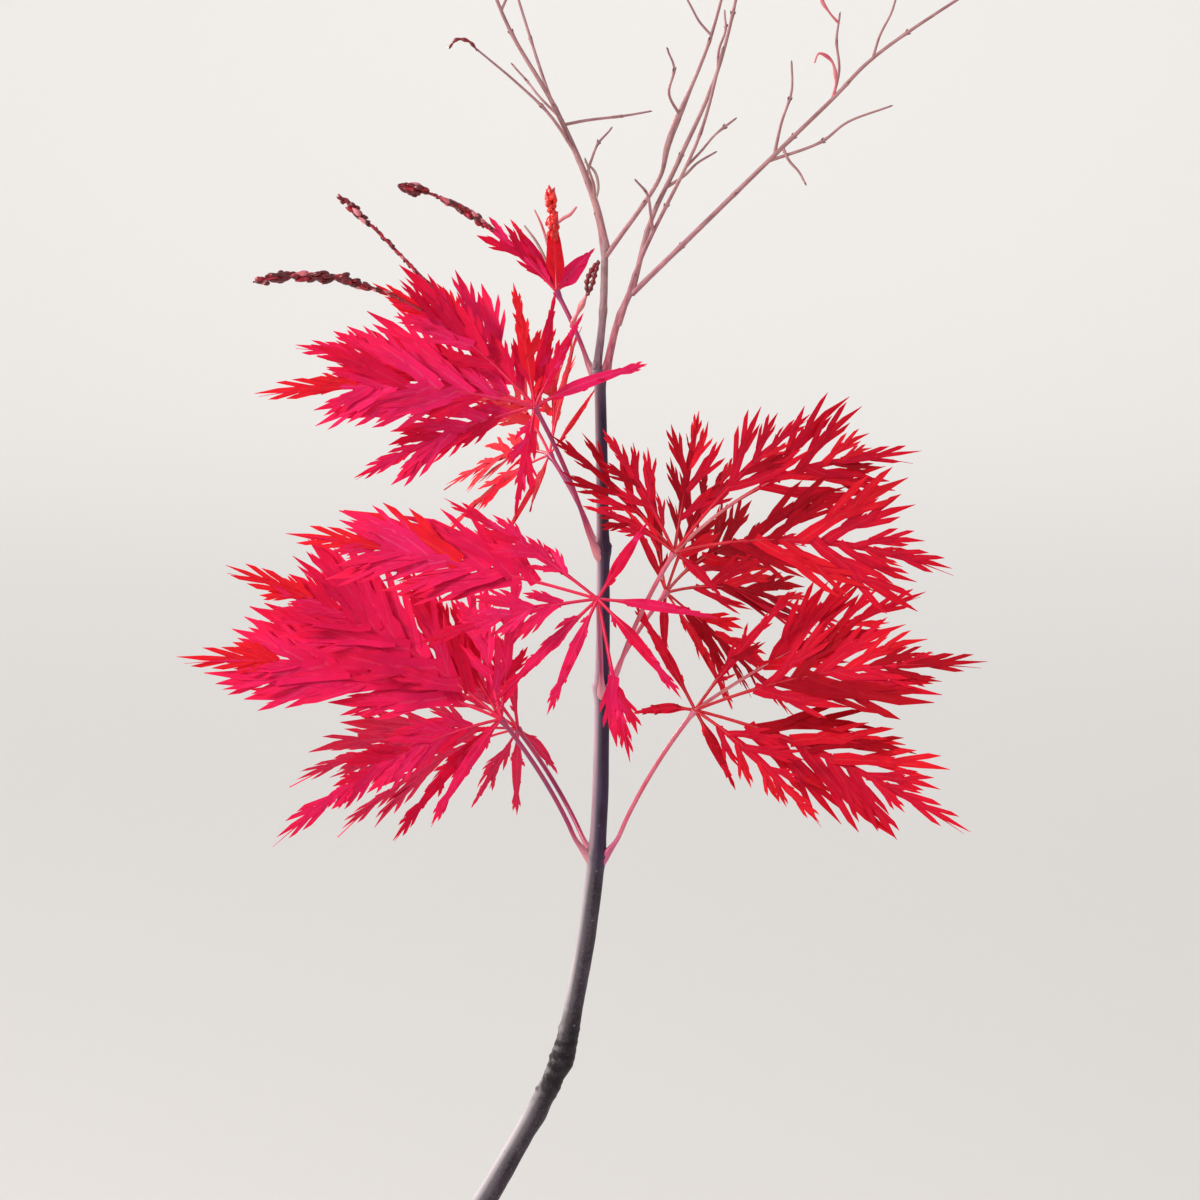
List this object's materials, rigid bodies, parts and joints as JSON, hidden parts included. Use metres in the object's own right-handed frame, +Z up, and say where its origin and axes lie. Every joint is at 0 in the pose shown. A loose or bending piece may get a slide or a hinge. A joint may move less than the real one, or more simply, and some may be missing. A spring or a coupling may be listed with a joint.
{
  "type": "potted laceleaf japanese maple",
  "caption": "Young laceleaf maple with one slender kinked stem, finely cut red leaves on long stalks and bare twig tips, standing in the soil of a plain tapered terracotta pot.",
  "frame": {"origin": "middle of the pot's flat underside, on the surface that the pot stands on", "axes": "+Z up along the pot's axis, +X to the right of the front view (the way the stem leans), +Y away from the viewer"},
  "size_m": [0.2262, 0.156, 0.5221],
  "materials": {
    "terracotta": "matte",
    "soil": "matte",
    "bark": "matte",
    "twig": "satin",
    "bare_twigs": "satin",
    "leaf_crimson": "matte",
    "leaf_scarlet": "matte"
  },
  "bodies": {
    "root": {"pot": "terracotta", "soil": "soil", "stem": "bark", "bough_leader": "twig", "bough_right": "twig", "twigs_left": "bare_twigs", "twigs_centre": "bare_twigs", "twigs_upright": "bare_twigs", "twigs_right": "bare_twigs", "twigs_back": "bare_twigs", "twigs_front": "bare_twigs", "leaf_low_left": "leaf_crimson", "leaf_low_right": "leaf_scarlet", "leaf_high_right": "leaf_scarlet", "leaf_front": "leaf_crimson", "leaf_high_left": "leaf_crimson", "leaf_top_left": "leaf_crimson", "leaf_back_low": "leaf_crimson", "leaf_back_middle": "leaf_scarlet", "leaf_back_high": "leaf_crimson"}
  },
  "joints": []
}
